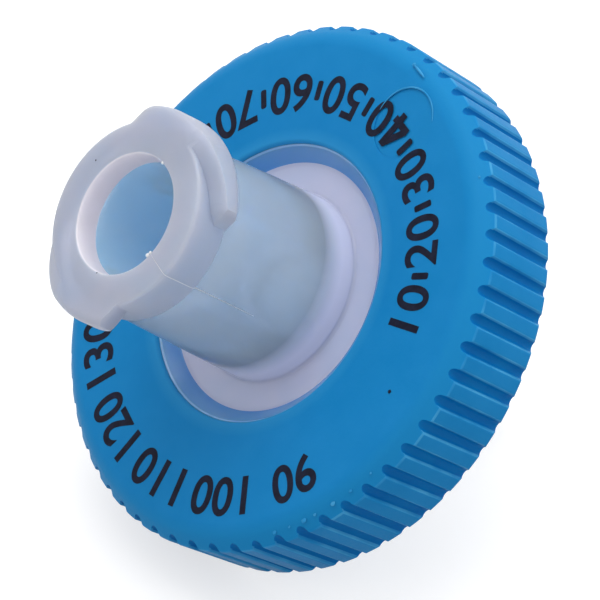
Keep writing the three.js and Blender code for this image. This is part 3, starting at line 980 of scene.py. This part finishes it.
specks = [
    crumb("dark_speck", at(7.7, 268, 0.01), 0.13, flatness=0.4),
    crumb("foot_spot", at(3.36, 30, 1.3), 0.07),
    crumb("end_spot", at(2.66, 73, HUB_LENGTH), 0.06, flatness=0.4),
    crumb("mouth_spot", at(2.18, 191, HUB_LENGTH - 0.01), 0.05),
]
finish_marks("dark_specks", specks, ink.material)

burr_plastic = natural_finish(
    "natural_plastic_burr", (0.92, 0.94, 0.97), (0.97, 0.97, 0.98), 0.1, 0.3, 0.0002,
)
wall_slope = (HUB_FOOT_RADIUS - HUB_END_RADIUS) / (collar_bottom + RECESS_DEPTH)
parting = [at(radius, PARTING_ANGLE, HUB_LENGTH + 0.002) for radius in (2.22, 2.5, 2.8, 3.1)]
parting.append(at(COLLAR_RADIUS - 0.02, PARTING_ANGLE, HUB_LENGTH - 0.03))
parting += [at(COLLAR_RADIUS + 0.005, PARTING_ANGLE, height) for height in (7.1, 6.5, 5.9)]
parting += [
    at(HUB_END_RADIUS + wall_slope * (collar_bottom - height), PARTING_ANGLE + 0.5, height)
    for height in (5.7, 5.0, 4.2, 3.4, 2.8)
]
burrs = [
    bead_line("parting_line", parting, 0.035),
    crumb("mouth_burr", at(2.05, 253, HUB_LENGTH - 0.07), 0.15, flatness=0.5),
    crumb("mouth_burr_edge", at(2.08, PARTING_ANGLE, HUB_LENGTH - 0.05), 0.11),
    crumb("mouth_burr_small", at(2.15, 353, HUB_LENGTH - 0.03), 0.12),
]
finish_marks("hub_burrs", burrs, burr_plastic.material)

# ---------------------------------------------------------------------------------------------
# The table it lies on, the soft lamps over it and the camera, above, in front and to its left. The
# table glows a little to the eye, in the plastic and in its reflections, so that it looks white.

TABLE_GLOW = 0.6

paper = bpy.data.materials.new("white_table")
paper.use_nodes = True
tree = paper.node_tree
shader = tree.nodes["Principled BSDF"]
shader.inputs["Roughness"].default_value = 0.9
shader.inputs["Specular IOR Level"].default_value = 0.1
fibre = tree.nodes.new("ShaderNodeTexNoise")
fibre.inputs["Scale"].default_value = 900
tint = tree.nodes.new("ShaderNodeMix")
tint.data_type = "RGBA"
tint.inputs[6].default_value = (0.46, 0.46, 0.465, 1)
tint.inputs[7].default_value = (0.48, 0.48, 0.485, 1)
where = tree.nodes.new("ShaderNodeTexCoord")
tree.links.new(where.outputs["Object"], fibre.inputs["Vector"])
tree.links.new(fibre.outputs["Fac"], tint.inputs[0])
tree.links.new(tint.outputs[2], shader.inputs["Base Color"])
glow = tree.nodes.new("ShaderNodeEmission")
seen = tree.nodes.new("ShaderNodeLightPath")
straight = tree.nodes.new("ShaderNodeMath")
straight.operation = "MAXIMUM"
tree.links.new(seen.outputs["Is Camera Ray"], straight.inputs[0])
tree.links.new(seen.outputs["Is Transmission Ray"], straight.inputs[1])
either = tree.nodes.new("ShaderNodeMath")
either.operation = "MAXIMUM"
tree.links.new(straight.outputs["Value"], either.inputs[0])
tree.links.new(seen.outputs["Is Glossy Ray"], either.inputs[1])
part_white = tree.nodes.new("ShaderNodeMath")
part_white.operation = "MULTIPLY"
part_white.inputs[1].default_value = TABLE_GLOW
tree.links.new(either.outputs["Value"], part_white.inputs[0])
tree.links.new(part_white.outputs["Value"], glow.inputs["Strength"])
added = tree.nodes.new("ShaderNodeAddShader")
tree.links.new(shader.outputs["BSDF"], added.inputs[0])
tree.links.new(glow.outputs["Emission"], added.inputs[1])
tree.links.new(added.outputs["Shader"], tree.nodes["Material Output"].inputs["Surface"])

table_height = cad_bounds[0][2] - 0.00002
table = primitive("table_top", bpy.ops.mesh.primitive_plane_add, size=3, location=(0, 0, table_height))
table.data.materials.append(paper)

world = bpy.data.worlds.new("soft_room")
world.use_nodes = True
sky = world.node_tree.nodes["Background"]
sky.inputs["Color"].default_value = (1, 1, 1, 1)
sky.inputs["Strength"].default_value = 1.0
bpy.context.scene.world = world

LAMP_AIM = Vector((0, 0, 0.008))


def lamp(name, place, size, power):
    """A square soft lamp that looks at the filter."""
    light = bpy.data.lights.new(name, "AREA")
    light.shape = "SQUARE"
    light.size = size
    light.energy = power
    holder = bpy.data.objects.new(name, light)
    holder.location = place
    holder.rotation_euler = (LAMP_AIM - Vector(place)).to_track_quat("-Z", "Y").to_euler()
    bpy.context.collection.objects.link(holder)


lamp("overhead_lamp", (0.04, 0.02, 0.34), 0.26, 0.54)
lamp("side_lamp", (0.26, -0.10, 0.20), 0.22, 0.2)

# The camera's place in millimetres and its turn in degrees, about the filter's own axis and face.
CAMERA_PLACE = (19.579, -115.278, 115.578)
CAMERA_TURN = (23.180, 39.553, -46.399)
camera_data = bpy.data.cameras.new("camera")
camera_data.lens = 288
camera_data.sensor_width = 36
camera_data.clip_start = 0.01
camera = bpy.data.objects.new("camera", camera_data)
own_frame = Matrix.Translation(face_centre) @ Matrix.Rotation(-lean, 4, "Y")
camera_turn = Euler([math.radians(angle) for angle in CAMERA_TURN]).to_matrix().to_4x4()
camera.matrix_world = own_frame @ Matrix.Translation(Vector(CAMERA_PLACE) / 1000) @ camera_turn
bpy.context.collection.objects.link(camera)
bpy.context.scene.camera = camera
bpy.context.scene.view_settings.view_transform = "Standard"
